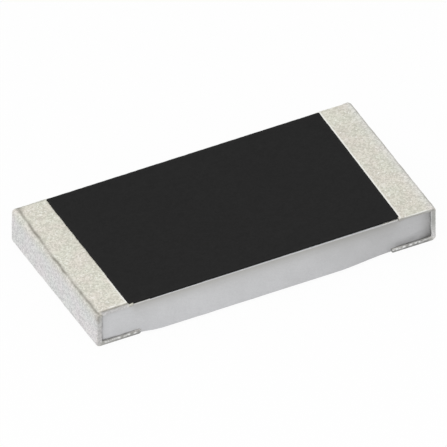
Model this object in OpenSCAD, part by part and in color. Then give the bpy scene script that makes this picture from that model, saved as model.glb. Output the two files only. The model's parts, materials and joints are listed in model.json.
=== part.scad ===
// Thick-film chip resistor for surface mounting, in millimetres.
// X runs along the chip, Y across it and Z up. The origin is under the chip's centre,
// on the plane of the two solder lands.

/* [Ceramic substrate] */
// Length of the ceramic between its two end faces
substrate_length = 6.2; // [5.6:0.05:7]
// Width of the ceramic across its long sides
substrate_width = 3.07; // [2.6:0.01:3.6]
// Thickness of the ceramic
substrate_thickness = 0.62; // [0.45:0.01:0.8]
// Depth of the score along which the ceramic was snapped from its sheet
score_depth = 0.16; // [0.05:0.01:0.25]
// How far the scored wall stands back from the snapped wall under it
score_inset = 0.006; // [0.002:0.001:0.012]
// Height of the slope between the scored wall and the snapped wall
score_ramp = 0.04; // [0.01:0.005:0.1]
// How far the snapped wall leans out at its foot, between the bottom lands
snap_lean = 0.075; // [0.01:0.005:0.1]
// Length over which that lean dies away towards each bottom land
snap_blend = 0.8; // [0.2:0.05:1]

/* [Printed electrodes] */
// Thickness of the electrode print on the top face
top_print_thickness = 0.012; // [0.008:0.001:0.02]
// Thickness of the electrode print on the bottom face
bottom_print_thickness = 0.01; // [0.006:0.001:0.02]
// Length of the bottom print, from the ceramic's end face
bottom_print_length = 0.75; // [0.4:0.01:1.2]
// How far past the end electrode a print's feathered slope runs on
print_feather = 0.015; // [0.01:0.005:0.04]

/* [Resistive film] */
// Thickness of the resistive film
film_thickness = 0.01; // [0.006:0.001:0.015]
// How far the film runs up onto each top electrode
film_overlap = 0.15; // [0.08:0.01:0.3]
// Length of the slope where the film climbs onto an electrode
film_ramp = 0.03; // [0.01:0.005:0.08]
// Width of the laser's trimming cut
trim_kerf = 0.05; // [0.03:0.005:0.08]
// How far the trimming cut goes in across the film
trim_plunge = 0.95; // [0.4:0.05:1.4]
// How far the trimming cut then runs along the film
trim_run = 1.1; // [0.5:0.05:1.8]
// Place of the plunge along the chip, from its centre
trim_start = -0.7; // [-1.2:0.05:-0.2]
// How far outside the film's edge the cut begins
trim_lead = 0.05; // [0.03:0.005:0.06]

/* [Overcoats] */
// Length of the black protective coat
coat_length = 5.04; // [4.6:0.02:5.4]
// Bare ceramic left between the coat and the long top edges
coat_margin = 0.004; // [0.002:0.001:0.03]
// Height of the coat's face above the ceramic
coat_height = 0.045; // [0.04:0.001:0.06]
// Radius of the coat's four corners, seen from above
coat_corner_radius = 0.025; // [0.015:0.005:0.06]
// Radius along the coat's upper edges
coat_edge_radius = 0.01; // [0.004:0.001:0.012]
// Distance from the coat's outline in to the glass under it
glass_inset = 0.1; // [0.06:0.01:0.16]
// Thickness of the glass over the raised ends of the film
glass_thickness = 0.008; // [0.005:0.001:0.012]
// Distance from the glass's outline in to the film under it
film_inset = 0.12; // [0.08:0.01:0.2]

/* [Plated ends] */
// Thickness of the end electrode on the ceramic's end face
end_thickness = 0.03; // [0.02:0.002:0.05]
// Thickness of the end electrode where it wraps the long sides
side_thickness = 0.008; // [0.006:0.001:0.02]
// How far the end electrode wraps over the edges of the end face
end_lap = 0.035; // [0.03:0.005:0.1]
// Outer radius of the end electrode, round the end face
end_radius = 0.05; // [0.03:0.005:0.05]
// Outer radius of the end electrode, along the long edges
side_radius = 0.02; // [0.01:0.005:0.025]
// How far the plating creeps up the long sides above the bottom print
foot_creep = 0.045; // [0.01:0.005:0.1]
// Thickness of the nickel barrier
nickel_thickness = 0.008; // [0.004:0.001:0.012]
// Thickness of the tin plating
tin_thickness = 0.012; // [0.006:0.001:0.02]

/* [Hidden] */
$fn = 48;
tin_build = nickel_thickness + tin_thickness;
substrate_bottom = bottom_print_thickness + tin_build;
substrate_top = substrate_bottom + substrate_thickness;
top_width = substrate_width - 2 * score_inset;
coat_width = top_width - 2 * coat_margin;
glass_length = coat_length - 2 * glass_inset;
glass_width = coat_width - 2 * glass_inset;
glass_height = top_print_thickness + film_thickness + glass_thickness;
film_length = glass_length - 2 * film_inset;
film_width = glass_width - 2 * film_inset;
film_gap = film_length - 2 * film_overlap;
top_print_length = (substrate_length - film_gap) / 2;
bottom_gap = substrate_length - 2 * (bottom_print_length + tin_build);

// Carries a section drawn in Y and Z along X, centred.
module along_x(length) {
    rotate([90, 0, 90]) linear_extrude(length, center = true) children();
}

// Carries a section drawn in X and Z along Y, centred.
module along_y(length) {
    rotate([90, 0, 0]) linear_extrude(length, center = true) children();
}

// The part at the other end of the chip.
module at_right() {
    mirror([1, 0, 0]) children();
}

// Rectangle centred on the origin with four round corners.
module round_outline(length, width, radius) {
    square([length - 2 * radius, width], center = true);
    square([length, width - 2 * radius], center = true);
    for (x = [-1, 1], y = [-1, 1])
        translate([x * (length / 2 - radius), y * (width / 2 - radius)]) circle(radius);
}

// Rectangle that starts at x = 0 with two round corners there.
module end_outline(length, width, radius) {
    translate([radius, -width / 2]) square([length - radius, width]);
    translate([0, radius - width / 2]) square([radius, width - 2 * radius]);
    for (y = [-1, 1])
        translate([radius, y * (width / 2 - radius)]) circle(radius);
}

// Rectangle standing on the first axis, with its two upper corners round.
module bar_outline(width, height, radius) {
    translate([-width / 2, 0]) square([width, height - radius]);
    translate([radius - width / 2, 0]) square([width - 2 * radius, height]);
    for (x = [-1, 1])
        translate([x * (width / 2 - radius), height - radius]) circle(radius);
}

// Bulge of the snapped walls: widest at their foot, and gone at each bottom land.
module snap_bulge(top) {
    near = substrate_width / 2;
    far = near + snap_lean;
    flat = bottom_gap / 2 - snap_blend;
    intersection() {
        along_x(bottom_gap) polygon([
            [-far, substrate_bottom], [far, substrate_bottom], [near, top], [-near, top]
        ]);
        translate([0, 0, substrate_bottom]) linear_extrude(top - substrate_bottom) polygon([
            [-bottom_gap / 2, -near], [-flat, -far], [flat, -far], [bottom_gap / 2, -near],
            [bottom_gap / 2, near], [flat, far], [-flat, far], [-bottom_gap / 2, near]
        ]);
    }
}

// Ceramic tile. Its long sides are scored from above and snapped below the score.
module ceramic_substrate() {
    low = substrate_width / 2;
    high = top_width / 2;
    scored = substrate_top - score_depth;
    snapped = scored - score_ramp;
    color("gainsboro") {
        along_x(substrate_length) polygon([
            [-low, substrate_bottom], [low, substrate_bottom], [low, snapped], [high, scored],
            [high, substrate_top], [-high, substrate_top], [-high, scored], [-low, snapped]
        ]);
        snap_bulge(snapped);
    }
}

// Electrode print in X and Z, on z = 0 and sunk by its own thickness.
// It feathers out towards the ceramic's end.
module print_outline(length, thickness) {
    outer = -substrate_length / 2;
    full = outer + end_lap + print_feather;
    polygon([
        [outer, -thickness], [outer + length, -thickness],
        [outer + length, thickness], [full, thickness], [outer, 0]
    ]);
}

// Left top print, sunk into the ceramic.
module top_print() {
    translate([0, 0, substrate_top])
        along_y(top_width) print_outline(top_print_length, top_print_thickness);
}

// Left bottom print, sunk into the ceramic.
module bottom_print() {
    translate([0, 0, substrate_bottom]) mirror([0, 0, 1])
        along_y(substrate_width) print_outline(bottom_print_length, bottom_print_thickness);
}

module top_electrode_left() {
    color("lightgray") difference() {
        top_print();
        ceramic_substrate();
    }
}

module top_electrode_right() {
    at_right() top_electrode_left();
}

module bottom_electrode_left() {
    color("lightgray") difference() {
        bottom_print();
        ceramic_substrate();
    }
}

module bottom_electrode_right() {
    at_right() bottom_electrode_left();
}

// Path of the laser: in across the film, then along it.
module trim_cut() {
    edge = -film_width / 2;
    turn = edge + trim_plunge;
    translate([trim_start, 0, substrate_top]) linear_extrude(glass_height) {
        translate([-trim_kerf / 2, edge - trim_lead]) square([trim_kerf, trim_plunge + trim_lead]);
        translate([0, turn - trim_kerf / 2]) square([trim_run, trim_kerf]);
        for (place = [[0, edge - trim_lead], [0, turn], [trim_run, turn]])
            translate(place) circle(trim_kerf / 2);
    }
}

// Film in X and Z, lying on z = 0. Its two ends climb onto the electrodes.
module film_outline() {
    half = film_length / 2;
    step = film_gap / 2;
    raised = top_print_thickness + film_thickness;
    polygon([
        [-step, 0], [step, 0], [step, top_print_thickness], [half, top_print_thickness],
        [half, raised], [step, raised], [step - film_ramp, film_thickness],
        [film_ramp - step, film_thickness], [-step, raised], [-half, raised],
        [-half, top_print_thickness], [-step, top_print_thickness]
    ]);
}

module resistive_film() {
    color("dimgray") difference() {
        translate([0, 0, substrate_top]) along_y(film_width) film_outline();
        trim_cut();
    }
}

// Glass fired over the film. It levels out, and the laser cuts through it too.
module glass_overcoat() {
    color("darkseagreen") difference() {
        translate([-glass_length / 2, -glass_width / 2, substrate_top])
            cube([glass_length, glass_width, glass_height]);
        translate([0, 0, substrate_top]) along_y(film_width) film_outline();
        top_electrode_left();
        top_electrode_right();
        trim_cut();
    }
}

// Outer form of the black coat, down to the ceramic.
module coat_form() {
    intersection() {
        translate([0, 0, substrate_top]) linear_extrude(coat_height)
            round_outline(coat_length, coat_width, coat_corner_radius);
        translate([0, 0, substrate_top]) along_x(coat_length)
            bar_outline(coat_width, coat_height, coat_edge_radius);
        translate([0, 0, substrate_top]) along_y(coat_width)
            bar_outline(coat_length, coat_height, coat_edge_radius);
    }
}

// Black coat, printed over the glass. It fills the laser's cut.
module protective_coat() {
    color([0.16, 0.16, 0.16]) difference() {
        coat_form();
        glass_overcoat();
        resistive_film();
        top_electrode_left();
        top_electrode_right();
    }
}

// Top land at the left end, out to a given thickness of plating. It runs in past the coat's round corners,
// and the plating grows down over the print's edges onto the ceramic's sides.
module top_land(build) {
    length = (substrate_length - coat_length) / 2 + coat_corner_radius + coat_edge_radius;
    height = top_print_thickness + 2 * build;
    translate([(length - substrate_length) / 2, 0, substrate_top + top_print_thickness / 2])
        along_x(length) round_outline(top_width + 2 * build, height, build);
}

// Bottom land at the left end, out to a given thickness of plating.
// The plating grows up onto the ceramic's sides.
module bottom_land(build) {
    length = bottom_print_length + build;
    width = substrate_width + 2 * build;
    height = bottom_print_thickness + 2 * build + foot_creep;
    middle = substrate_bottom + (foot_creep - bottom_print_thickness) / 2;
    translate([-substrate_length / 2, 0, middle]) intersection() {
        translate([length / 2, 0, 0]) along_x(length) round_outline(width, height, build);
        along_y(width) round_outline(2 * length, height, build);
        linear_extrude(height, center = true) round_outline(2 * length, width, build);
    }
}

// Wrap round the left end of the ceramic, out to a given thickness of plating.
module end_wrap(build) {
    outer = end_thickness + build;
    length = outer + end_lap + build;
    width = substrate_width + 2 * (side_thickness + build);
    low = substrate_bottom - bottom_print_thickness - build;
    high = substrate_top + top_print_thickness + build;
    translate([-substrate_length / 2 - outer, 0, (low + high) / 2]) intersection() {
        along_y(width) end_outline(length, high - low, end_radius + build);
        linear_extrude(high - low, center = true) end_outline(length, width, end_radius + build);
        translate([length / 2, 0, 0]) along_x(length) round_outline(width, high - low, side_radius + build);
    }
}

// Everything at the left end, out to a given thickness of plating.
module plated_form(build) {
    end_wrap(build);
    top_land(build);
    bottom_land(build);
}

// Bare metal at the left end, before it is plated, with the ceramic that it lies on.
module bare_form() {
    end_wrap(0);
    top_print();
    bottom_print();
    ceramic_substrate();
}

module end_electrode_left() {
    color("darkgray") difference() {
        end_wrap(0);
        top_print();
        bottom_print();
        ceramic_substrate();
    }
}

module end_electrode_right() {
    at_right() end_electrode_left();
}

module nickel_barrier_left() {
    color("silver") difference() {
        plated_form(nickel_thickness);
        bare_form();
        coat_form();
    }
}

module nickel_barrier_right() {
    at_right() nickel_barrier_left();
}

module tin_plating_left() {
    color([0.84, 0.83, 0.79]) difference() {
        plated_form(tin_build);
        plated_form(nickel_thickness);
        ceramic_substrate();
        coat_form();
    }
}

module tin_plating_right() {
    at_right() tin_plating_left();
}

ceramic_substrate();
resistive_film();
glass_overcoat();
protective_coat();
top_electrode_left();
top_electrode_right();
bottom_electrode_left();
bottom_electrode_right();
end_electrode_left();
end_electrode_right();
nickel_barrier_left();
nickel_barrier_right();
tin_plating_left();
tin_plating_right();
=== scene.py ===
"""Looks of a thick-film chip resistor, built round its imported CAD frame.

The ceramic tile, the black coat and the two tin terminations are new surfaces with rounded edges and
plated lips, worked out with numpy in millimetres. The prints, film, glass, paste and nickel under them
stay as the CAD solids and get their own finishes.
"""

import json
import logging
from dataclasses import dataclass
from enum import Enum
from typing import Dict, List, Optional, Sequence, Tuple

import bmesh
import bpy
import numpy as np
from mathutils import Matrix, Vector

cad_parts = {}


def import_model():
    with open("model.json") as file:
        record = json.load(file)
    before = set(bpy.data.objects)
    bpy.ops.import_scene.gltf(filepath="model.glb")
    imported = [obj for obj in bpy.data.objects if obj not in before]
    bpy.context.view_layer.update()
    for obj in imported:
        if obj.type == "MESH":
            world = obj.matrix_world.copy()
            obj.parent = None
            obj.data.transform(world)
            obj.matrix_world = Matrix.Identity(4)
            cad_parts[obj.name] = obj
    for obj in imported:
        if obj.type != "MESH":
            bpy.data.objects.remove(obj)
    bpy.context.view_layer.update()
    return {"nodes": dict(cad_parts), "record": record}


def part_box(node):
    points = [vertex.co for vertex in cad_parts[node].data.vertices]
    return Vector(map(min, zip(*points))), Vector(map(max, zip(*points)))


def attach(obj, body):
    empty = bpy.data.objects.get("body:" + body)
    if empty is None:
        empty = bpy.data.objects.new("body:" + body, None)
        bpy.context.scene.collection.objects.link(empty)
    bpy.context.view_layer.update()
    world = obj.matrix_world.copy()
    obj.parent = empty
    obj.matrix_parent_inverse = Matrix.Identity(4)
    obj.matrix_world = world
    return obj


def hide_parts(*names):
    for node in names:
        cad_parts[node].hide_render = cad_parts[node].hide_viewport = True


LOG = logging.getLogger("chip_resistor")
MM = 0.001
IMAGE_SIDE = 447

# Where the plating stops on the chip's sides, in mm: at the ends, below the top and above the bottom.
WRAP_EDGE = 3.045
LAND_LIP = 0.63
FOOT_LIP = 0.095

# Lengths in mm: beyond the chip's reach, next to nothing, and below the outermost skin.
FAR = 9.0
TINY = 1e-6
SKIN = 1e-4

Array = np.ndarray
Stroke = Sequence[tuple]
Colour = Tuple[float, float, float]
Span = Tuple[float, float]
Swell = Tuple[float, float, float]
Ease = Tuple[float, float, float, float]
Socket = bpy.types.NodeSocket
Sockets = bpy.types.bpy_prop_collection
Tree = bpy.types.NodeTree
Material = bpy.types.Material


class End(Enum):
    """The end of the chip that a termination wraps: the sign of its X."""

    LEFT = -1
    RIGHT = 1


class Mask(Enum):
    """Names of the values that the meshes carry for their finishes, from 0 to 1."""

    # Painted light: where the tin takes the end face's paler, cooler tone.
    END_FACE = "end_face"
    # Painted shade in the crease and round the land, and a stain on the left front corner.
    FOLD = "fold"
    POLISH = "polish"
    RIM = "rim"
    # Painted shade and shadow at the foot of the walls and on the tin's lower flank.
    FOOT = "foot"
    # Painted highlights on the beads of the bottom land's flank.
    BEAD = "bead"
    # Painted shade beside the plated lips.
    SEAM = "seam"
    SHADE = "shade"
    SCORED = "scored"


class Effect(Enum):
    """Names of the node groups that the finishes share."""

    SPECKLE = "crystal_speckle"
    CLOUD = "cloudy_tone"
    WORN = "worn_mask"


@dataclass(frozen=True)
class Ripple:
    """Even random waviness: a sum of cosines with seeded directions, lengths in mm."""

    seed: int
    wavelength: float
    height: float
    waves: int = 36

    def at(self, points: Array, shift: int = 0) -> Array:
        """Height of the waviness at points.

        Each wave is cos(k . p + phase), its wavelength within 0.7 to 1.5 of the given one; the sum is
        divided by the square root of half their number and multiplied by the height.

        Args:
            points: coordinates in mm, with x, y, z on the last axis.
            shift: added to the seed, so that the two ends differ.

        Returns:
            One height for each point.
        """
        rng = np.random.default_rng(self.seed + shift)
        direction = rng.normal(size=(3, self.waves))
        direction /= np.linalg.norm(direction, axis=0)
        length = self.wavelength * rng.uniform(0.7, 1.5, self.waves)
        phase = rng.uniform(0, 2 * np.pi, self.waves)
        waves = np.cos(points @ (2 * np.pi * direction / length) + phase)
        return self.height * waves.sum(-1) / np.sqrt(self.waves / 2)


def ease(value: Array, low: float, high: float, first: float = 0.0, last: float = 1.0) -> Array:
    """Pass from first at low to last at high by the cubic 3t^2 - 2t^3."""
    t = np.clip((value - low) / (high - low), 0, 1)
    return first + (last - first) * t * t * (3 - 2 * t)


def bell(value: Array, middle: object, width: object, height: float = 1.0) -> Array:
    """Bell curve: height * exp(-((value - middle) / width)^2)."""
    return height * np.exp(-((value - middle) / width) ** 2)


def fade(distance: Array, length: float, height: float = 1.0) -> Array:
    """Exponential fall with distance, from the height at a distance of 0."""
    return height * np.exp(-np.maximum(distance, 0) / length)


def swell(distance: Array, base: float, extra: float, length: float) -> Array:
    """A base value and an extra one that fades with distance."""
    return base + extra * fade(distance, length)


def stacked(*lengths: object) -> Array:
    """Coordinates side by side on a last axis, numbers spread to match arrays."""
    return np.stack(np.broadcast_arrays(*lengths), -1)


def paint(known: Dict[str, Array], *strokes: Stroke) -> Array:
    """Largest of several strokes, each the product of its curves.

    Args:
        known: values at each point by name.
        strokes: lists of curves, each a value's name, a formula and the formula's numbers.

    Returns:
        The mask that the strokes make.
    """
    made = [[formula(known[name], *numbers) for name, formula, *numbers in stroke] for stroke in strokes]
    products = [np.prod(np.broadcast_arrays(*curves), axis=0) for curves in made]
    return np.max(np.broadcast_arrays(*products), axis=0)


def ring_normals(rings: Array) -> Array:
    """Unit normals of rings: the cross product of the steps round them and from one to the next."""
    normal = np.cross(np.roll(rings, -1, 1) - np.roll(rings, 1, 1), np.gradient(rings, axis=0))
    return normal / np.maximum(np.linalg.norm(normal, axis=-1, keepdims=True), 1e-9)


@dataclass
class Piece:
    """One closed mesh of the visual model: rings of points in mm and the masks that they carry."""

    name: str
    rings: Array
    masks: Dict[Mask, Array]

    def faces(self) -> List[List[int]]:
        """Quads from each ring to the next and a cap on the first and the last ring.

        Returns:
            Point numbers of each face, the two caps last.
        """
        stations, ring = self.rings.shape[:2]
        row = np.arange(stations - 1)[:, None] * ring
        here = np.arange(ring)
        there = np.roll(here, -1)
        quads = np.stack([row + here, row + there, row + ring + there, row + ring + here], -1)
        last = here + ring * (stations - 1)
        return quads.reshape(-1, 4).tolist() + [here[::-1].tolist(), last.tolist()]

    def put(self, node: str, slot: str, material: Material) -> None:
        """Make the object, have it ride on the frame and stand for its CAD node.

        Args:
            node: CAD node that it replaces.
            slot: the record's material slot; not used.
            material: finish to wear.
        """
        mesh = bpy.data.meshes.new(self.name)
        faces = self.faces()
        mesh.from_pydata((self.rings.reshape(-1, 3) * MM).tolist(), [], faces)
        smooth = np.ones(len(faces), bool)
        smooth[-2:] = False
        mesh.polygons.foreach_set("use_smooth", smooth)
        for mask, values in self.masks.items():
            layer = mesh.attributes.new(mask.value, "FLOAT", "POINT")
            layer.data.foreach_set("value", np.clip(values, 0, 1).astype(np.float32).ravel())
        self.turn_outward(mesh)
        mesh.materials.append(material)
        piece = bpy.data.objects.new(self.name, mesh)
        bpy.context.scene.collection.objects.link(piece)
        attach(piece, "root")
        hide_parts(node)
        LOG.info("%s: %d faces, stands for %s", self.name, len(faces), node)

    @staticmethod
    def turn_outward(mesh: bpy.types.Mesh) -> None:
        """Turn all faces over if the mesh encloses a negative volume.

        Args:
            mesh: closed mesh to mend.
        """
        work = bmesh.new()
        work.from_mesh(mesh)
        if work.calc_volume(signed=True) < 0:
            bmesh.ops.reverse_faces(work, faces=work.faces[:])
            work.to_mesh(mesh)
        work.free()


@dataclass
class Substrate:
    """The fired alumina tile: scored from above, then snapped, so its sides lean out towards the foot.

    Spans and eases hold places along the chip in mm. A swell holds a value, what is added to it beside
    the wraps, and the length over which that fades. Pairs of shares are for the right and the left.
    """

    half_length: float
    bottom: float
    top: float
    foot_half: float
    lean: float = 0.075
    lean_back: Ease = (1.53, 2.33, 1.0, 0.0)
    lean_front_left: Span = (1.9, 2.5)
    lean_front_right: Span = (1.25, 2.33)
    score_inset: float = 0.006
    score_depth: float = 0.16
    score_ramp: float = 0.04
    edge: float = 0.006
    stations: int = 300
    levels: int = 38
    snap_blend: float = 0.05
    snap_wave: Ripple = Ripple(3, 0.35, 0.0022)
    snap_grain: Ripple = Ripple(4, 0.06, 0.0009)
    lip_wave: Ripple = Ripple(8, 0.2, 0.004)
    land_start: float = 2.48
    foot_start: float = 2.33
    # Numbers of the painted shade: the seam and foot under the plated lips, the low edge, the pool at the
    # right and the slow, quick and band shade along the wall.
    seam_width: float = 0.022
    seam_right: Span = (0.1, 0.35)
    foot_left: Swell = (0.019, 0.02, 0.1)
    foot_right: Swell = (0.019, 0.06, 0.1)
    foot_in: Span = (2.3, 2.46)
    low_fade: float = 0.12
    low_in: Ease = (1.8, 2.4, 0.0, 0.14)
    pool_height: Swell = (0.1, 0.08, 0.2)
    pool_share: Swell = (0.45, 0.4, 0.3)
    pool_in: Span = (2.15, 2.45)
    slow_left: Ease = (-1.5, 0.8, 0.0, 0.13)
    slow_right: Ease = (0.8, 2.3, 0.0, 0.2)
    quick_width: float = 0.13
    quick_share: Span = (0.85, 0.1)
    band_in: Ease = (0.8, 1.25, 0.0, 0.24)
    band_out: Ease = (2.2, 2.6, 1.0, 0.0)
    band_fade: float = 0.2
    score_start: float = 0.03
    score_fade: float = 0.11
    paler_in: Span = (2.38, 2.53)
    paler_share: Span = (0.7, 0.8)

    @classmethod
    def from_frame(cls) -> "Substrate":
        """Take the tile's outer sizes from its CAD node."""
        low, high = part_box("ceramic_substrate")
        return cls(high.x / MM, low.z / MM, high.z / MM, high.y / MM)

    def wall(self, z: Array, share: Array) -> Array:
        """Half-width of the tile on one side.

        The scored wall is upright; below the ramp the snapped wall leans out in a straight line to the
        foot, by a share that varies along the chip.

        Args:
            z: heights in mm.
            share: share of the lean at each place along the chip, from 0 to 1.

        Returns:
            Half-widths in mm.
        """
        score = self.top - self.score_depth
        ramp = score - self.score_ramp
        lean = self.lean * share * np.clip((ramp - z) / (ramp - self.bottom), 0, 1)
        return self.foot_half - self.lean - self.score_inset * ease(z, ramp, score) + lean

    def build(self) -> Piece:
        """Carry the cross-section along X.

        The section runs up the back wall, over the top, down the front wall and back underneath, with
        each long edge eased by a small quarter round. The lean dies away by a smooth step towards both
        ends, sooner at the right of the front wall than at its left, as the sheet broke. The snapped
        walls get two sizes of waviness.

        Returns:
            The tile with its masks.
        """
        turn = np.linspace(0, np.pi / 2, 4)
        up = np.concatenate([
            self.bottom + self.edge * (1 - np.cos(turn)),
            np.linspace(self.bottom + self.edge, self.top - self.edge, self.levels + 2)[1:-1],
            self.top - self.edge * (1 - np.sin(turn)),
        ])
        inset = self.edge * np.concatenate([1 - np.sin(turn), np.zeros(self.levels), 1 - np.cos(turn)])
        x = np.linspace(-self.half_length, self.half_length, self.stations)[:, None]
        ahead = 1 - ease(-x, *self.lean_front_left) - ease(x, *self.lean_front_right)
        back = self.wall(up, ease(np.abs(x), *self.lean_back)) - inset
        front = self.wall(up, ahead) - inset
        across = np.linspace(1, -1, 9)[1:-1]
        flat = np.ones_like(across)
        top_y = back[:, -1:] * across
        bottom_y = -front[:, :1] + (back[:, :1] + front[:, :1]) * (1 - across) / 2
        y = np.concatenate([back, top_y, -front[:, ::-1], bottom_y], 1)
        z = np.concatenate([up, flat * self.top, up[::-1], flat * self.bottom])
        rings = stacked(x, y, z)
        side = np.ones(len(up))
        side[:2] = side[-4:] = 0
        on_wall = np.concatenate([side, 0 * flat, side[::-1], 0 * flat])
        score = self.top - self.score_depth
        snapped = on_wall * ease(z, score - self.snap_blend, score, 1.0, 0.0)
        rings[..., 1] += np.sign(y) * snapped * (self.snap_wave.at(rings) + self.snap_grain.at(rings))
        return Piece("ceramic_tile", rings, self.masks(rings, on_wall))

    def masks(self, rings: Array, on_wall: Array) -> Dict[Mask, Array]:
        """Masks that follow the plated lips on the side walls.

        The seam and the foot are painted shade, the shadow under the plated lips: bells of the distance
        from the nearest lip. The foot spreads beside the wraps, lies thinly along the low edge and stands
        as a pool of painted shade at the right. The painted shade grows slowly along the chip, quickly
        beside the wraps and in a band below the score. The score's tint fades exponentially down the wall
        and is weaker under the lands. At the left front the land is set back and leaves no seam shade.

        Args:
            rings: the tile's points.
            on_wall: 1 on the side walls.

        Returns:
            One array for each mask.
        """
        x, y, z = np.moveaxis(rings, -1, 0)
        a = np.abs(x)
        at_right = x > 0
        set_back = (x < 0) & (y < 0)
        wavy = self.lip_wave.at(rings)
        from_wrap = WRAP_EDGE - a
        from_land = np.where((a > self.land_start) & ~set_back, LAND_LIP - z, FAR)
        from_foot = np.where(a > self.foot_start, z - FOOT_LIP, FAR)
        near = np.maximum(np.minimum(from_wrap, from_land), 0)
        # Painted shadow under the plated lips.
        seam = bell(near + wavy, 0, self.seam_width)
        seam = seam * np.where(at_right, np.where(from_land < from_wrap, *self.seam_right), 1)
        width = np.where(at_right, swell(from_wrap, *self.foot_right), swell(from_wrap, *self.foot_left))
        # Painted shade and shadow over the foot's lip, along the low edge and pooled at the right.
        foot = bell(np.maximum(from_foot, 0) + wavy, 0, width) * ease(a, *self.foot_in)
        low = fade(z - self.bottom, self.low_fade) * ease(a, *self.low_in)
        pool = bell(np.maximum(z - FOOT_LIP, 0), 0, swell(from_wrap, *self.pool_height))
        pool = pool * swell(from_wrap, *self.pool_share) * ease(a, *self.pool_in) * at_right
        below = self.top - self.score_start - z
        slow = ease(x, *self.slow_left) + ease(x, *self.slow_right)
        quick = bell(np.maximum(from_wrap, 0), 0, self.quick_width) * np.where(at_right, *self.quick_share)
        band = ease(x, *self.band_in) * ease(x, *self.band_out) * fade(below, self.band_fade)
        paler = np.where(at_right, *self.paler_share) * (at_right | set_back) * ease(a, *self.paler_in)
        return {
            Mask.SEAM: seam * on_wall,
            Mask.FOOT: np.maximum(np.maximum(foot, low), pool) * on_wall,
            Mask.SHADE: (1 - (1 - slow) * (1 - quick) * (1 - band)) * on_wall,
            Mask.SCORED: fade(below, self.score_fade) * (1 - paler) * on_wall,
        }


@dataclass(frozen=True)
class Registration:
    """How far the black print's edges lie off their true place, in mm.

    The short edges have a shift along X at their front and back, the front edge one along Y at its left
    and right.
    """

    half_length: float
    half_width: float
    left: Span = (-0.025, -0.008)
    right: Span = (-0.035, 0.018)
    front: Span = (0.0, 0.02)

    @classmethod
    def from_frame(cls) -> "Registration":
        """Take the print's sizes from the coat's CAD node."""
        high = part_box("protective_coat")[1]
        return cls(high.x / MM, high.y / MM)

    def edge(self, end: End, y: Array) -> Array:
        """Shift of a short edge along X, in a straight line from front to back."""
        return np.interp(y, [-self.half_width, self.half_width], self.left if end is End.LEFT else self.right)

    def shift(self, x: Array, y: Array) -> Tuple[Array, Array]:
        """Shift of any point of the print, blended in straight lines between its edges.

        Args:
            x: places along the chip in mm.
            y: places across the chip in mm.

        Returns:
            Shifts along X and Y in mm.
        """
        ends = [-self.half_length, self.half_length]
        along = np.interp(x, ends, [0, 1])
        ahead = np.interp(y, [-self.half_width, self.half_width], [1, 0])
        sideways = self.edge(End.LEFT, y) * (1 - along) + self.edge(End.RIGHT, y) * along
        return sideways, np.interp(x, ends, self.front) * ahead


@dataclass
class Coat:
    """The printed black coat over the resistor, with eased edges and a hollow over the glass."""

    registration: Registration
    bottom: float
    top: float
    hollow_top: float
    hollow_inset: float = 0.1
    corner: float = 0.025
    least_corner: float = 0.002
    edge: float = 0.01
    side_foot: float = 0.012
    side_points: Tuple[int, ...] = (121, 73, 121, 73)
    top_insets: Tuple[float, ...] = (0.3, 0.12, 0.05)
    wave: Ripple = Ripple(21, 0.22, 0.0022)
    fine_wave: Ripple = Ripple(22, 0.07, 0.0012)
    wave_reach: float = 0.05
    shifted: Ease = (0.1, 0.3, 1.0, 0.0)
    # Where the painted sheen lies inside the coat's top edge, in mm.
    rim: Span = (0.004, 0.008)

    @classmethod
    def from_frame(cls) -> "Coat":
        """Take the coat's outer sizes and its hollow from the CAD nodes."""
        low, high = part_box("protective_coat")
        return cls(Registration.from_frame(), low.z / MM, high.z / MM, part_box("glass_overcoat")[1].z / MM)

    def outline(self, inset: float) -> Array:
        """Rounded rectangle, pulled in by an inset.

        Points run round four quarter arcs and the straight sides between them, as complex numbers; every
        inset has the same number of points, so that rings at different insets join face by face.

        Args:
            inset: distance from the coat's edge in mm.

        Returns:
            The ring, X as the real part and Y as the imaginary part.
        """
        radius = max(self.corner - inset, self.least_corner)
        long_half = self.registration.half_length - inset - radius
        short_half = self.registration.half_width - inset - radius
        centre = complex(long_half, short_half)
        centres = [centre, -centre.conjugate(), -centre, centre.conjugate()]
        arc = radius * np.exp(1j * np.linspace(0, np.pi / 2, 7))
        runs = []
        for corner, count in enumerate(self.side_points):
            turned = centres[corner] + arc * 1j ** corner
            following = centres[(corner + 1) % 4] + radius * 1j ** (corner + 1)
            runs += [turned, np.linspace(turned[-1], following, count)[1:-1]]
        return np.concatenate(runs)

    def build(self) -> Piece:
        """Carry the coat's edge profile round its outline and close it above and below.

        The profile is read from the top's inner ring outward: flat, a quarter round, down the side to
        the foot, in under the margin, up the hollow's wall and in over the glass. The print's edge is
        slightly wavy and follows the registration.

        Returns:
            The coat with its rim mask, a painted sheen along its top edge.
        """
        turn = np.linspace(0, np.pi / 2, 6)
        inset = np.concatenate([
            self.top_insets, self.edge * (1 - np.sin(turn)),
            [0, 0, self.hollow_inset, self.hollow_inset, self.top_insets[0]],
        ])
        height = np.concatenate([
            [self.top] * len(self.top_insets), self.top - self.edge * (1 - np.cos(turn)),
            [self.bottom + self.side_foot, self.bottom, self.bottom, self.hollow_top, self.hollow_top],
        ])
        plan = np.stack([self.outline(distance) for distance in inset])
        rings = stacked(plan.real, plan.imag, height[:, None])
        on_plan = rings * [1, 1, 0]
        wavy = np.abs(self.wave.at(on_plan) + self.fine_wave.at(on_plan))
        pull = wavy * np.clip(1 - inset / self.wave_reach, 0, 1)[:, None]
        size = [self.registration.half_length, self.registration.half_width]
        rings[..., :2] *= 1 - pull[..., None] / size
        shift = stacked(*self.registration.shift(rings[..., 0], rings[..., 1]))
        rings[..., :2] += shift * ease(inset, *self.shifted)[:, None, None]
        # Painted sheen: a narrow band just inside the coat's top edge.
        rim = bell(inset, *self.rim) * (height > self.top - 2 * self.edge)
        return Piece("black_coat", rings, {Mask.RIM: np.broadcast_to(rim[:, None], plan.shape)})


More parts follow.
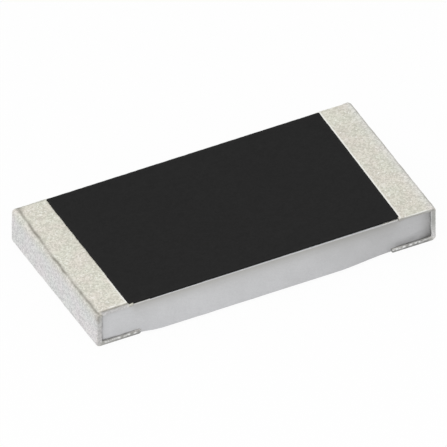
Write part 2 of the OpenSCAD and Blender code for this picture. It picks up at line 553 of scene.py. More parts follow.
@dataclass(frozen=True)
class Turn:
    """A C-shaped line round an end: out along the top, down the end and back in underneath."""

    start: float
    finish: float
    end: float
    high: float
    low: float
    radius: float

    def line(self, out: Array, turn: Array, down: Array, back: Array) -> Array:
        """Points of the line: three straight runs with a quarter circle between each and the next.

        Args:
            out: shares of the run along the top, from 0 to 1.
            turn: shares of either quarter circle.
            down: shares of the run down the end.
            back: shares of the run back in.

        Returns:
            Complex numbers, outward as the real part and upward as the imaginary part.
        """
        far = self.end - self.radius
        high, low = self.high - self.radius, self.low + self.radius
        arc = self.radius * np.exp(-0.5j * np.pi * turn)
        return np.concatenate([
            self.start + (far - self.start) * out + 1j * self.high,
            far + 1j * (high + arc),
            self.end + 1j * (high + (low - high) * down),
            far + 1j * low + arc,
            far + (self.finish - far) * back + 1j * self.low,
        ])


# Strokes on the tin. Lengths outward (a), frontward (ahead), upward (z), along the path and beyond the print;
# depth below the outer line as a length, as a share of the edge's radius (over) and of the lip's (down).
ON_FOOT: Stroke = (("place", ease, 1.35, 1.75), ("a", ease, 2.95, 3.06, 1, 0))
# How much of the end face's painted light reaches the bottom land.
UNDER_END: Stroke = (("place", np.interp, (1, 2), (1, 0.4)),)
WORN_FOLD: Stroke = (("fold_wear", np.clip, 0.6, 1), ("depth", bell, 0, 0.05))
# Painted highlights: along the plating's bead at the print's edge and along the front ridge of the lands.
PRINT_BEAD: Stroke = (("beyond", bell, 0.012, 0.012), ("land", np.multiply, 1), ("depth", np.less, 0.004))
RIDGE: Stroke = (("front", np.multiply, 1), ("beyond", ease, 0, 0.03), ("a", ease, 2.93, 3.02, 1, 0),
                 ("ridge_wear", np.clip, 0, 1))
# Painted shade on the plating's flanks, its back edge and the left land's front strip.
FLANK: Stroke = (("over", ease, 0.02, 0.5), ("down", ease, 0.75, 1, 1, 0))
FOOT_FLANK: Stroke = (*FLANK, ("place", ease, 1.5, 1.9))
# Painted shade on the lower flank of the foot.
FOOT_EDGE: Stroke = (*ON_FOOT, ("depth", np.greater, SKIN), ("down", ease, 0.4, 0.6, 1, 0.4))
# Painted highlights on the beads of the bottom land's flank.
FOOT_BEADS: Stroke = (*ON_FOOT, ("down", bell, 0.66, 0.18))
# Painted shade on the tin's lip next to the tile.
FOOT_SEAM: Stroke = (("foot", np.greater, 0.5), ("down", ease, 0.72, 1), ("a", ease, 2.35, 2.65, 0.35, 1))
SET_BACK: Stroke = (("front", np.multiply, 1), ("beyond", np.greater, 0), ("a", ease, 3.02, 3.09, 1, 0))
STRIP: Stroke = (("ahead", ease, 1.495, 1.51), *SET_BACK)
STRIP_TONE = (0.2, 0.8, 0.74, 0.34)
TIN_MARKS: Dict[End, Dict[Mask, Sequence[Stroke]]] = {
    End.LEFT: {
        # Painted light: the end face's paler, cooler copy of the tin, fading onto the bottom land and laid on
        # the left land's front strip.
        Mask.END_FACE: [(("along", ease, 2.99, 3.36), *UNDER_END), STRIP],
        # Painted shade in the crease, along the coat's edge, under the end and along the set-back front edge;
        # the second stroke is a stain on the front corner.
        Mask.FOLD: [
            (("crease", np.multiply, 1), *WORN_FOLD),
            (("z", ease, 0.42, 0.64), ("over", bell, 0.35, 0.4, 0.9), ("ahead", ease, 1.46, 1.52),
             ("place", np.greater, 0)),
            (("beyond", fade, 0.04, 0.2), ("land", np.multiply, 1), ("ahead", ease, -0.4, 1, 1, 0)),
            (("place", bell, 1.35, 0.35, 0.15),),
            (("ahead", bell, 1.501, 0.021), *SET_BACK),
        ],
        Mask.POLISH: [
            (*PRINT_BEAD, ("ahead", ease, 0.2, 1.2), ("ahead", ease, 1.46, 1.49, 1, 0)),
            (*RIDGE, ("ahead", bell, 1.457, 0.016)),
        ],
        Mask.RIM: [
            (("over", ease, 0.02, 0.5, 0, 0.55), FLANK[1]), FOOT_FLANK,
            (("ahead", ease, -1.535, -1.5, 0.45, 0), ("land", np.multiply, 1)),
        ],
        Mask.FOOT: [(*FOOT_EDGE, ("a", ease, 2.5, 2.85, 0.9, 0.3))],
        Mask.BEAD: [FOOT_BEADS],
        Mask.SEAM: [
            FOOT_SEAM,
            (("foot", np.less_equal, 0.5), ("down", ease, 0.72, 1, 0, 0.8), ("front", ease, 0, 1, 1, 0.15)),
        ],
    },
    End.RIGHT: {
        Mask.END_FACE: [(("along", ease, 2.88, 3.3), *UNDER_END)],
        Mask.FOLD: [(("crease", np.multiply, 0.75), *WORN_FOLD)],
        Mask.POLISH: [PRINT_BEAD, (*RIDGE, ("over", bell, 0.4, 0.4), ("depth", np.greater, SKIN))],
        Mask.RIM: [(*FLANK, ("z", ease, 0.08, 0.42, 0.35, 1)), FOOT_FLANK],
        Mask.FOOT: [FOOT_EDGE],
        Mask.BEAD: [FOOT_BEADS],
        Mask.SEAM: [FOOT_SEAM, (("foot", np.less_equal, 0.5), ("down", ease, 0.72, 1, 0, 0.5))],
    },
}
FOLD_WEAR = Ripple(51, 0.5, 0.25)
FOLD_MEAN = 0.95
RIDGE_WEAR = Ripple(52, 0.2, 0.35)
RIDGE_MEAN = 0.75


@dataclass
class Termination:
    """One plated end: tin over the top land, round the end face and under the bottom land.

    Lengths are measured outward from the chip's middle, so that both ends share one form.
    """

    end: End
    reach: float
    top: float
    foot_start: float
    wrap_half: float
    registration: Registration
    hook: float = 0.06
    corner: float = 0.07
    land_inset: float = 0.014
    foot_inset: float = 0.008
    foot_turn: Span = (1.2, 2.0)
    foot_ease: float = 0.02
    wall_inset: float = 0.036
    wrap_blend: float = 0.09
    wrap_round: float = 0.015
    fillet: float = 0.02
    land_edge: float = 0.02
    lip_round: float = 0.014
    edge_most: float = 0.4
    lip_most: float = 0.3
    thickness: float = 0.012
    pitch: float = 0.0165
    lip_wave: Ripple = Ripple(31, 0.24, 0.0045)
    lip_wave_most: float = 0.006
    lip_share: float = 0.55
    bead: Span = (0.016, 0.014)
    bead_height: float = 0.006
    grain: Ripple = Ripple(41, 0.055, 0.0011, 60)
    swelling: Ripple = Ripple(44, 0.3, 0.0012)
    crease_depth: float = 0.003
    crease_line: Tuple[float, float, float] = (-0.0144, -0.0227, 3.0995)
    crease_wave: Ripple = Ripple(53, 0.45, 0.006)
    crease_width: Ease = (1.38, 1.5, 0.026, 0.046)
    crease_right: Span = (0.45, 0.3)
    inside: Span = (2.8, 0.33)

    @classmethod
    def from_frame(cls, end: End) -> "Termination":
        """Take an end's outer sizes from its CAD node.

        Args:
            end: which end to build.

        Returns:
            The termination.
        """
        low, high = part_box("tin_plating_" + end.name.lower())
        reach, start = (high.x, low.x) if end is End.RIGHT else (-low.x, -high.x)
        return cls(end, reach / MM, high.z / MM, start / MM, high.y / MM, Registration.from_frame())

    def beyond_print(self, points: Array) -> Array:
        """Distance outward from the black print's edge at each point."""
        shift = self.end.value * self.registration.edge(self.end, points[..., 1])
        return np.abs(points[..., 0]) - self.registration.half_length - shift

    def path(self) -> Tuple[Array, Array, Array]:
        """The C-shaped line that the section is carried along, and its rim.

        The outer line follows the outside of the plating, and the inner end of its bottom run is eased
        up by a quarter circle. The rim is the same turn drawn where the plating stops on the chip's
        sides, with its own fillets.

        Returns:
            Outer line and rim as complex numbers, and the share of the turn: 0 on the top land, 1 on the
            end face, 2 on the bottom land.
        """
        start, far = self.registration.half_length - self.hook, self.reach - self.corner
        runs = (far - start, self.top - 2 * self.corner, far - self.foot_start)
        out, down, back = (np.linspace(0, 1, int(run / self.pitch) + 2) for run in runs)
        turn = np.linspace(0, 1, 15)[1:-1]
        shares = (out, turn, down, back)
        outer = Turn(start, self.foot_start, self.reach, self.top, 0.0, self.corner).line(*shares)
        rim = Turn(start, self.foot_start, WRAP_EDGE, LAND_LIP, FOOT_LIP, self.fillet).line(*shares)
        lift = np.clip((self.foot_start + self.foot_ease - outer.real[-len(back):]) / self.foot_ease, 0, 1)
        outer.imag[-len(back):] = self.foot_ease * (1 - np.sqrt(1 - lift ** 2))
        place = np.concatenate([0 * out, turn, np.ones_like(down), 1 + turn, np.full_like(back, 2.0)])
        return outer, rim, place

    def section(self, half: Array, edge: Array, depth: Array) -> Tuple[Array, int]:
        """The staple-shaped section at every station.

        It is flat across the chip, rounds over the edge by a quarter circle, runs down the flank, rounds
        in at the lip and goes back along the layer beneath, one plating thickness inside. On a shallow
        flank the edge and the lip take at most set shares of the depth.

        Args:
            half: half-width at each station.
            edge: edge radius at each station.
            depth: depth of the lip below the outer line at each station.

        Returns:
            Stations by ring, sideways as the real part and depth as the imaginary part, and the number of
            outer points in the ring.
        """
        half, edge, depth = half[:, None], np.minimum(edge, self.edge_most * depth)[:, None], depth[:, None]
        lip = np.minimum(self.lip_round, self.lip_most * depth)
        turn = np.exp(0.5j * np.pi * np.linspace(0, 1, 8)[None, 1:])
        flank = np.linspace(0, 1, 5)[None, 1:]
        flat = np.linspace(0, 1, int(self.wrap_half / self.pitch))[None, :]
        wall = (self.wrap_half - self.wall_inset) * np.ones_like(half)
        side = np.concatenate([
            (half - edge) * flat,
            half - edge + 1j * edge * (1 - turn),
            half + 1j * (edge + (depth - lip - edge) * flank),
            half - lip + 1j * (depth - lip) + lip * turn,
            wall + 1j * depth,
        ], 1)
        beneath = half - self.thickness
        above = 1j * (depth - self.thickness)
        level = 1j * self.thickness * np.ones_like(half)
        under = np.concatenate([
            wall + above, beneath + above, beneath * np.linspace(1, 0, 9)[None, :-1] + level,
        ], 1)
        ring = np.concatenate([-side[:, :0:-1].conj(), side, under, level, -under[:, ::-1].conj()], 1)
        return ring, 2 * side.shape[1] - 1

    def crease(self, along: Array, place: Array, points: Array) -> Array:
        """Painted shade: the dark line in the crease where the land turns over into the end face.

        At the left it is a narrow bell across a line that slopes and bows along Y and wanders a little,
        wider at its back end; at the right it is a bell round the upper part of the turn.

        Args:
            along: length along the path at each station.
            place: share of the turn at each station.
            points: the termination's points.

        Returns:
            The line's strength at each point, from 0 to 1.
        """
        y = points[..., 1]
        if self.end is End.RIGHT:
            return bell(place, *self.crease_right) * np.ones_like(y)
        line = np.polyval(self.crease_line, y) + self.crease_wave.at(points * [0, 1, 0])
        return bell(along, line, ease(y, *self.crease_width))

    def build(self) -> Piece:
        """Carry the section along the path, roughen its outside and close both inner ends.

        A point lies on the line from the outer path to the rim, at its depth. The half-width is less on
        the lands than round the end, and the lips are wavy. The plating builds up in a low bead along
        the print's edge, and its outside has a fine grain that is pushed along the normals.

        Returns:
            The termination with its masks.
        """
        outer, rim, place = self.path()
        to_wrap = ease(outer.real, WRAP_EDGE - self.wrap_blend, WRAP_EDGE) * (place < 0.5)
        on_land = self.land_inset * (1 - np.maximum(to_wrap, place > 0))
        half = self.wrap_half - np.where(place < 1, on_land, self.foot_inset * ease(place, *self.foot_turn))
        edge = ease(1 - np.abs(place - 1), 0.0, 1.0, self.land_edge, self.corner)
        edge = edge + self.wrap_round * to_wrap * (1 - place)
        along = outer.real[0] + np.concatenate([[0], np.cumsum(np.abs(np.diff(outer)))])
        lip = np.abs(rim - outer)
        section, outside = self.section(half, edge, lip)
        y, depth = section.real, section.imag
        outer, rim, place, along, edge, lip = (v[:, None] for v in (outer, rim, place, along, edge, lip))
        beside = stacked(rim.real, np.sign(y), rim.imag)
        wander = np.minimum(self.lip_wave.at(beside, self.end.value), self.lip_wave_most)
        near_lip = np.clip((depth / lip - self.lip_share) / (1 - self.lip_share), 0, 1)
        depth = depth + wander * near_lip * (np.abs(y) > self.wrap_half - self.wall_inset + TINY)
        line = outer + (rim - outer) / lip * depth
        points = stacked(self.end.value * line.real, y, line.imag)
        ring = np.arange(y.shape[1])
        skin = ((ring > 0) & (ring < outside - 1)) * np.minimum(1, (2 - place) * 4)
        bead = self.bead_height * bell(self.beyond_print(points), *self.bead) * (place == 0)
        points[..., 2] += bead * skin
        grain = self.grain.at(points, self.end.value) + self.swelling.at(points, self.end.value)
        grain -= self.crease_depth * self.crease(along, place, points)
        normal = ring_normals(points)
        middle = np.array([self.end.value * self.inside[0], 0, self.inside[1]])
        facing = np.sign(((points - middle) * normal).sum(-1)[len(outer) // 3, outside // 2])
        points = points + normal * facing * (grain * skin)[..., None]
        known = {"depth": depth, "over": depth / np.maximum(edge, TINY), "down": depth / lip, "place": place,
                 "along": along, "crease": self.crease(along, place, points)}
        masks = {mask: values * (ring < outside) for mask, values in self.masks(points, known).items()}
        return Piece("tin_termination_" + self.end.name.lower(), points, masks)

    def masks(self, points: Array, known: Dict[str, Array]) -> Dict[Mask, Array]:
        """Paint the masks by the table of strokes; the strip along the left land gets its own painted shade
        on the rim mask.

        Args:
            points: the termination's points.
            known: where they lie on it, by name.

        Returns:
            One array for each mask.
        """
        ahead, land = -points[..., 1], 1.0 * (known["place"] == 0)
        known = {
            **known, "a": np.abs(points[..., 0]), "ahead": ahead, "z": points[..., 2],
            "land": land, "front": land * (ahead > 0), "beyond": self.beyond_print(points),
            "fold_wear": FOLD_MEAN + FOLD_WEAR.at(points), "ridge_wear": RIDGE_MEAN + RIDGE_WEAR.at(points),
        }
        known["foot"] = paint(known, ON_FOOT)
        masks = {mask: paint(known, *strokes) for mask, strokes in TIN_MARKS[self.end].items()}
        if self.end is End.LEFT:
            strip = paint(known, STRIP)
            masks[Mask.RIM] = masks[Mask.RIM] * (1 - strip) + ease(known["over"], *STRIP_TONE) * strip
        return masks


# Shares of a grain's own tone and of noise in the speckle, and of its dome and of noise in the height; where
# the random tone begins to sparkle, a painted glint, and does so fully;
# where noise breaks a mark away, stains and painted shade alike, and where it leaves it.
TONE_SHARES: Span = (0.7, 0.3)
HEIGHT_SHARES: Span = (0.6, 0.6)
SPARKLING: Span = (0.9, 0.96)
WEARING: Span = (0.35, 0.65)


@dataclass
class Bench:
    """A node tree being wired."""

    tree: Tree

    def feed(self, target: Socket, value: object) -> None:
        """Link a socket to an input, or set the input's value.

        Args:
            target: input socket.
            value: output socket, number or colour.
        """
        if isinstance(value, Socket):
            self.tree.links.new(value, target)
        else:
            target.default_value = (*value, 1.0) if isinstance(value, tuple) else value

    def add(self, kind: str, inputs: Optional[Dict[object, object]] = None, **settings: object) -> Sockets:
        """Add a node, set its properties and feed its inputs.

        Args:
            kind: the node's type name after ShaderNode.
            inputs: sockets, numbers or colours by the input's name or number.
            settings: properties to set.

        Returns:
            The node's outputs.
        """
        node = self.tree.nodes.new("ShaderNode" + kind)
        for name, value in settings.items():
            setattr(node, name, value)
        for key, value in (inputs or {}).items():
            self.feed(node.inputs[key], value)
        return node.outputs

    def math(self, operation: str, *values: object) -> Socket:
        """One step of arithmetic on numbers or sockets."""
        return self.add("Math", dict(enumerate(values)), operation=operation)[0]

    def blend(self, share: object, first: object, second: object, mode: str = "MIX") -> Socket:
        """Mix two colours by the share of the second one."""
        return self.add("Mix", {0: share, 6: first, 7: second}, data_type="RGBA", blend_type=mode)[2]

    def spread(self, value: Socket, low: float, high: float) -> Socket:
        """Spread the values from low to high smoothly over 0 to 1."""
        inputs = {"Value": value, "From Min": low, "From Max": high}
        return self.add("MapRange", inputs, interpolation_type="SMOOTHSTEP")["Result"]

    def mask(self, mask: Mask) -> Socket:
        """Value of a mask that the mesh carries."""
        return self.add("Attribute", attribute_name=mask.value)["Fac"]

    def scaled(self, place: Socket, scale: object) -> Socket:
        """Coordinates multiplied by a number or socket."""
        return self.add("VectorMath", {0: place, "Scale": scale}, operation="SCALE")[0]

    def noise(self, place: Socket, scale: float, detail: float) -> Socket:
        """Fractal noise about 0.5, by waves per unit and octaves."""
        return self.add("TexNoise", {"Vector": place, "Scale": scale, "Detail": detail})["Fac"]

    def use(self, effect: Effect, output: str, **values: object) -> Socket:
        """One output of a shared group, with some of its inputs set by name."""
        return self.add("Group", values, node_tree=bpy.data.node_groups[effect.value])[output]


class Group(Bench):
    """A shared group being wired: what comes in and goes out, and a place in units of its Size in mm."""

    def __init__(self, effect: Effect, inputs: Sequence[str], outputs: Sequence[str]) -> None:
        """Start the group with number sockets.

        Args:
            effect: which group it is.
            inputs: input names, Size among them.
            outputs: output names.
        """
        super().__init__(bpy.data.node_groups.new(effect.value, "ShaderNodeTree"))
        for way, labels in (("INPUT", inputs), ("OUTPUT", outputs)):
            for label in labels:
                self.tree.interface.new_socket(name=label, in_out=way, socket_type="NodeSocketFloat")
        self.source = self.tree.nodes.new("NodeGroupInput").outputs
        self.result = self.tree.nodes.new("NodeGroupOutput").inputs
        millimetres = self.scaled(self.add("TexCoord")["Object"], 1 / MM)
        self.place = self.scaled(millimetres, self.math("DIVIDE", 1.0, self.source["Size"]))


def make_speckle() -> None:
    """Crystal grains: a random tone for each cell, softened by noise, and a height that domes each grain.

    A few grains, picked by a second random tone, sparkle, as painted glints.
    """
    group = Group(Effect.SPECKLE, ["Size"], ["Speckle", "Sparkle", "Height"])
    cell = group.add("TexVoronoi", {"Vector": group.place, "Scale": 1.0})
    tone = group.add("SeparateColor", {0: cell["Color"]})
    soft = group.noise(group.place, 0.5, 2.0)
    dome = group.math("SUBTRACT", 1.0, cell["Distance"])
    for label, own, (share, noise) in (("Speckle", tone[0], TONE_SHARES), ("Height", dome, HEIGHT_SHARES)):
        mixed = group.math("MULTIPLY_ADD", own, share, group.math("MULTIPLY", soft, noise))
        group.feed(group.result[label], mixed)
    group.feed(group.result["Sparkle"], group.spread(tone[1], *SPARKLING))


def make_cloud() -> None:
    """Cloudy tone about 1, as wide as the spread."""
    group = Group(Effect.CLOUD, ["Size", "Spread"], ["Tone"])
    centred = group.math("SUBTRACT", group.noise(group.place, 1.0, 3.0), 0.5)
    group.feed(group.result["Tone"], group.math("MULTIPLY_ADD", centred, group.source["Spread"], 1.0))


def make_worn() -> None:
    """A mask with gaps broken into it by noise."""
    group = Group(Effect.WORN, ["Mask", "Size", "Gap"], ["Worn"])
    bare = group.math("SUBTRACT", 1.0, group.spread(group.noise(group.place, 1.0, 2.0), *WEARING))
    left = group.math("SUBTRACT", 1.0, group.math("MULTIPLY", bare, group.source["Gap"]))
    group.feed(group.result["Worn"], group.math("MULTIPLY", group.source["Mask"], left))


@dataclass(frozen=True)
class Stain:
    """A colour that lies over a finish where a mask says so, with gaps of a size in mm broken into it by
    noise. Some are real stains and tints, others painted shade and painted highlights.
    """

    mask: Mask
    colour: Colour
    share: float = 1.0
    size: float = 0.1
    gap: float = 0.0

    def over(self, below: Socket, bench: Bench) -> Socket:
        """Lay the overlay's colour, stain and painted light alike, over a colour."""
        worn = bench.use(Effect.WORN, "Worn", Mask=bench.mask(self.mask), Size=self.size, Gap=self.gap)
        return bench.blend(bench.math("MULTIPLY", worn, self.share), below, self.colour)


@dataclass(frozen=True)
class Finish:
    """Grains in two tones under cloudy patches, with stains, painted shade and painted highlights over them
    and a gloss that varies.

    The grain and the first number of the cloud are sizes in mm; the cloud's second is its spread.
    """

    name: str
    pale: Colour
    deep: Colour
    roughness: float
    metallic: float
    grain: float
    bump: float
    cloud: Span = (0.5, 0.2)
    stains: Tuple[Stain, ...] = ()
    settings: Tuple[Tuple[str, float], ...] = ()
    half_contrast: float = 0.3
    gloss_patch: Span = (4.0, 0.25)

    def share(self, bench: Bench) -> Socket:
        """Share of the paler tone, grain by grain."""
        speckle = bench.use(Effect.SPECKLE, "Speckle", Size=self.grain)
        return bench.spread(speckle, 0.5 - self.half_contrast, 0.5 + self.half_contrast)

    def grains(self, bench: Bench) -> Socket:
        """Colour of the grains."""
        return bench.blend(self.share(bench), self.deep, self.pale)

    def material(self) -> Material:
        """Make the material: the colour, a gloss varied by cloudy patches and the grain raised as a bump.

        Returns:
            The material.
        """
        made = bpy.data.materials.new(self.name)
        made.use_nodes = True
        bench = Bench(made.node_tree)
        shader = made.node_tree.nodes["Principled BSDF"].inputs
        for name, value in (("Metallic", self.metallic), ("Roughness", self.roughness), *self.settings):
            shader[name].default_value = value
        tone = bench.use(Effect.CLOUD, "Tone", Size=self.cloud[0], Spread=self.cloud[1])
        colour = bench.blend(1.0, self.grains(bench), tone, "MULTIPLY")
        for stain in self.stains:
            colour = stain.over(colour, bench)
        bench.feed(shader["Base Color"], colour)
        size, spread = self.gloss_patch
        patch = bench.use(Effect.CLOUD, "Tone", Size=size * self.grain, Spread=spread)
        bench.feed(shader["Roughness"], bench.math("MULTIPLY", patch, self.roughness))
        height = bench.use(Effect.SPECKLE, "Height", Size=self.grain)
        bump = bench.add("Bump", {"Strength": 1.0, "Distance": self.bump * MM, "Height": height})
        bench.feed(shader["Normal"], bump["Normal"])
        return made


# Painted highlight and glint white.
BRIGHT: Colour = (0.93, 0.93, 0.9)
# Painted shade on the tin's foot and lips.
DULL: Colour = (0.17, 0.17, 0.17)
# Painted shade on the tile's walls and seams.
SEAM: Colour = (0.24, 0.236, 0.23)


@dataclass(frozen=True)
class TinFinish(Finish):
    """Matte plated tin: warm on the lands, cooler on the end face as painted light, with sparkling grains as
    painted glints and faint tints.
    """

    # End-face tones: painted light, a paler, cooler lit copy of the lands' tones.
    end_pale: Colour = (0.825, 0.821, 0.83)
    end_deep: Colour = (0.635, 0.632, 0.641)
    # Share of painted glint on the sparkling grains.
    sparkle: float = 0.55
    tint_patch: Span = (0.35, 4.0)
    rosy: Colour = (1.015, 0.992, 0.99)
    greenish: Colour = (0.985, 1.003, 0.98)

    def grains(self, bench: Bench) -> Socket:
        """Colour of the grains, by land and end face, the end face's tone being painted light, tinted from
        patch to patch.

        Args:
            bench: the material's tree.

        Returns:
            The colour.
        """
        share = self.share(bench)
        land = bench.blend(share, self.deep, self.pale)
        end = bench.blend(share, self.end_deep, self.end_pale)
        # Painted light: the end face takes its lit copy of the tin.
        colour = bench.blend(bench.mask(Mask.END_FACE), land, end)
        sparkle = bench.use(Effect.SPECKLE, "Sparkle", Size=self.grain)
        # Painted glints: the sparkling grains are blended towards the highlight white.
        colour = bench.blend(bench.math("MULTIPLY", sparkle, self.sparkle), colour, BRIGHT)
        size, spread = self.tint_patch
        patch = bench.use(Effect.CLOUD, "Tone", Size=size, Spread=spread)
        tint = bench.blend(bench.math("SUBTRACT", patch, 0.5), self.rosy, self.greenish)
        return bench.blend(1.0, colour, tint, "MULTIPLY")


TIN = TinFinish(
    "matte_tin", (0.764, 0.745, 0.674), (0.605, 0.591, 0.527), 0.5, 1.0, 0.025, 0.003, (0.6, 0.08), (
        # Rim: painted shade on the flanks and back edge.
        Stain(Mask.RIM, (0.37, 0.37, 0.353), 0.85),
        # Fold: painted shade in the crease and round the land, and a brownish stain on the left front corner.
        Stain(Mask.FOLD, (0.24, 0.225, 0.19), 0.85, 0.12, 0.25),
        # Foot: painted shade on the lower flank of the bottom land.
        Stain(Mask.FOOT, DULL, 0.8, 0.1, 0.4),
        # Seam: painted shade on the tin beside its lips.
        Stain(Mask.SEAM, DULL, 0.7),
        # Bead: painted highlights, near-white spots on the foot's flank.
        Stain(Mask.BEAD, (0.95, 0.95, 0.95), 1.0, 0.06, 1.0),
        # Edge highlight: painted highlight on the lands' bead and front ridge.
        Stain(Mask.POLISH, BRIGHT),
    ), half_contrast=0.25)
ALUMINA = Finish(
    "fired_alumina", (0.598, 0.602, 0.614), (0.562, 0.566, 0.578), 0.65, 0.0, 0.012, 0.0008, (0.4, 0.17), (
        Stain(Mask.SCORED, (0.43, 0.425, 0.407)),
        Stain(Mask.SHADE, SEAM, 0.75),
        # Seam: painted shadow under the plated lips.
        Stain(Mask.SEAM, SEAM, 0.8, 0.12, 0.4),
        # Foot: painted shadow over the bottom lips.
        Stain(Mask.FOOT, (0.07, 0.068, 0.065), 0.9, 0.15, 0.35),
    ))
BLACK = Finish(
    "black_print", (0.0098, 0.0098, 0.0098), (0.0078, 0.0078, 0.0078), 0.62, 0.0, 0.03, 0.0006, (0.9, 0.2),
    # Rim: a painted sheen along the coat's top edge.
    (Stain(Mask.RIM, (0.014, 0.014, 0.014)),), (("Specular IOR Level", 0.12),))
HIDDEN: Dict[str, Finish] = {
    "film": Finish("fired_film", (0.15, 0.15, 0.16), (0.09, 0.09, 0.095), 0.7, 0.0, 0.012, 0.001),
    "silver_print": Finish("silver_print", (0.78, 0.77, 0.73), (0.62, 0.61, 0.58), 0.45, 1.0, 0.012, 0.001),
    "end_paste": Finish("end_paste", (0.6, 0.59, 0.56), (0.46, 0.45, 0.43), 0.55, 1.0, 0.02, 0.0015),
    "nickel": Finish("nickel_barrier", (0.66, 0.65, 0.6), (0.55, 0.54, 0.5), 0.35, 1.0, 0.015, 0.0006),
    "glass": Finish(
        "overcoat_glass", (0.46, 0.6, 0.5), (0.36, 0.5, 0.4), 0.18, 0.0, 0.05, 0.0004, (0.4, 0.35),
        settings=(("Transmission Weight", 0.35), ("IOR", 1.52))),
}


def direction(azimuth: float, elevation: float) -> Vector:
    """Unit vector from the chip, by degrees: 0 in front of the long side, -90 beyond the left end, and up."""
    a, e = np.radians([azimuth, elevation])
    return Vector((np.sin(a) * np.cos(e), -np.cos(a) * np.cos(e), np.sin(e)))


@dataclass(frozen=True)
class Lamp:
    """A square soft lamp, in mm and degrees; its power is what reaches a surface that faces it."""

    name: str
    azimuth: float
    elevation: float
    away: float
    size: float
    power: float
    colour: Colour

    def put(self) -> None:
        """Aim the lamp at the chip."""
        away = self.away * MM
        toward = direction(self.azimuth, self.elevation)
        data = bpy.data.lights.new(self.name, "AREA")
        data.size = self.size * MM
        data.energy = self.power * np.pi * np.pi * away * away
        data.color = self.colour
        lamp = bpy.data.objects.new(self.name, data)
        lamp.location = toward * away
        lamp.rotation_mode = "QUATERNION"
        lamp.rotation_quaternion = toward.to_track_quat("Z", "Y")
        bpy.context.scene.collection.objects.link(lamp)


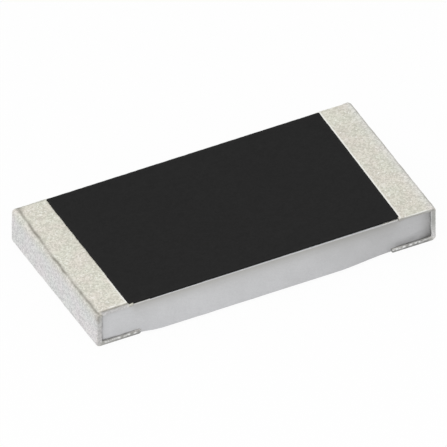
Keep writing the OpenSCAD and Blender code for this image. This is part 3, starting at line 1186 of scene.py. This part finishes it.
@dataclass
class Studio:
    """Camera at the photograph's angle, a white floor and soft light; angles in degrees, lengths in mm."""

    azimuth: float = -27.21
    elevation: float = 39.27
    roll: float = 0.34
    pixels_per_mm: float = 60.521
    centre: Span = (-0.0030, 0.2784)
    distance: float = 60.0
    clip: Span = (1.0, 500.0)
    floor_half: float = 150.0
    floor_drop: float = 0.002
    floor_share: float = 0.94
    floor_grey: float = 0.93
    backdrop: float = 0.82
    lamps: Tuple[Lamp, ...] = (
        Lamp("key", -65, 55, 80, 110, 0.16, (1.0, 0.985, 0.96)),
        Lamp("front", -35, 35, 24, 24, 0.12, (0.98, 0.985, 1.0)),
    )

    def camera(self) -> None:
        """Place an orthographic camera whose frame holds the photograph's 447 by 447 pixels."""
        back = direction(self.azimuth, self.elevation)
        a, t = np.radians([self.azimuth, self.roll])
        level = Vector((np.cos(a), np.sin(a), 0))
        above = back.cross(level)
        right, up = level * np.cos(t) + above * np.sin(t), above * np.cos(t) - level * np.sin(t)
        data = bpy.data.cameras.new("camera")
        data.type = "ORTHO"
        data.ortho_scale = IMAGE_SIDE / self.pixels_per_mm * MM
        data.clip_start, data.clip_end = self.clip[0] * MM, self.clip[1] * MM
        camera = bpy.data.objects.new("camera", data)
        place = (right * self.centre[0] + up * self.centre[1] + back * self.distance) * MM
        camera.matrix_world = Matrix((
            (right.x, up.x, back.x, place.x), (right.y, up.y, back.y, place.y),
            (right.z, up.z, back.z, place.z), (0, 0, 0, 1)))
        bpy.context.scene.collection.objects.link(camera)
        bpy.context.scene.camera = camera

    @staticmethod
    def seen(bench: Bench) -> Socket:
        """Tell the rays that see the plain background.

        Args:
            bench: tree to wire it in.

        Returns:
            1 for camera, glossy and transmission rays.
        """
        ray = bench.add("LightPath")
        sees = bench.math("MAXIMUM", ray["Is Camera Ray"], ray["Is Glossy Ray"])
        return bench.math("MAXIMUM", sees, ray["Is Transmission Ray"])

    def floor(self) -> None:
        """Lay a white floor that keeps a light shadow."""
        half = self.floor_half * MM
        mesh = bpy.data.meshes.new("floor")
        corners = [(-half, -half, 0), (half, -half, 0), (half, half, 0), (-half, half, 0)]
        mesh.from_pydata(corners, [], [(0, 1, 2, 3)])
        floor = bpy.data.objects.new("floor", mesh)
        floor.location.z = -self.floor_drop * MM
        bpy.context.scene.collection.objects.link(floor)
        material = bpy.data.materials.new("floor_white")
        material.use_nodes = True
        bench = Bench(material.node_tree)
        bench.tree.nodes.clear()
        matte = bench.add("BsdfDiffuse", {"Color": (self.floor_grey,) * 3})[0]
        share = bench.math("MULTIPLY", self.seen(bench), self.floor_share)
        mixed = bench.add("MixShader", {0: share, 1: matte, 2: bench.add("Emission")[0]})
        bench.add("OutputMaterial", {"Surface": mixed[0]})
        mesh.materials.append(material)

    def world(self) -> None:
        """Hang a white backdrop, which lights matte surfaces more weakly than it looks."""
        world = bpy.data.worlds.new("studio")
        world.use_nodes = True
        bpy.context.scene.world = world
        bench = Bench(world.node_tree)
        background = world.node_tree.nodes["Background"]
        background.inputs["Color"].default_value = (1, 1, 1, 1)
        lift = bench.math("MULTIPLY_ADD", self.seen(bench), 1 - self.backdrop, self.backdrop)
        bench.feed(background.inputs["Strength"], lift)

    def build(self) -> None:
        """Set up the camera, floor, backdrop and lamps."""
        bpy.context.scene.view_settings.view_transform = "Standard"
        self.camera()
        self.floor()
        self.world()
        for lamp in self.lamps:
            lamp.put()


def dress_hidden(nodes: Dict[str, bpy.types.Object], record: Dict[str, object]) -> None:
    """Give the layers that stay as CAD solids their finishes.

    Args:
        nodes: the frame's CAD nodes.
        record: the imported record, which names each node's slot.
    """
    made = {slot: finish.material() for slot, finish in HIDDEN.items()}
    for entry in record["subparts"]:
        finish = made.get(entry["material_slot"])
        if finish is None:
            continue
        node = nodes[entry["node"]]
        node.data.materials.clear()
        node.data.materials.append(finish)
        LOG.info("%s: keeps its CAD solid, finish %s", entry["node"], finish.name)


def main() -> None:
    """Load the frame, build each piece, dress the rest and set up the studio."""
    logging.basicConfig(level=logging.INFO, format="%(message)s")
    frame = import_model()
    for make in (make_speckle, make_cloud, make_worn):
        make()
    Substrate.from_frame().build().put("ceramic_substrate", "alumina", ALUMINA.material())
    Coat.from_frame().build().put("protective_coat", "black_coat", BLACK.material())
    tin = TIN.material()
    for end in End:
        Termination.from_frame(end).build().put("tin_plating_" + end.name.lower(), "tin", tin)
    dress_hidden(frame["nodes"], frame["record"])
    Studio().build()


if __name__ == "__main__":
    main()
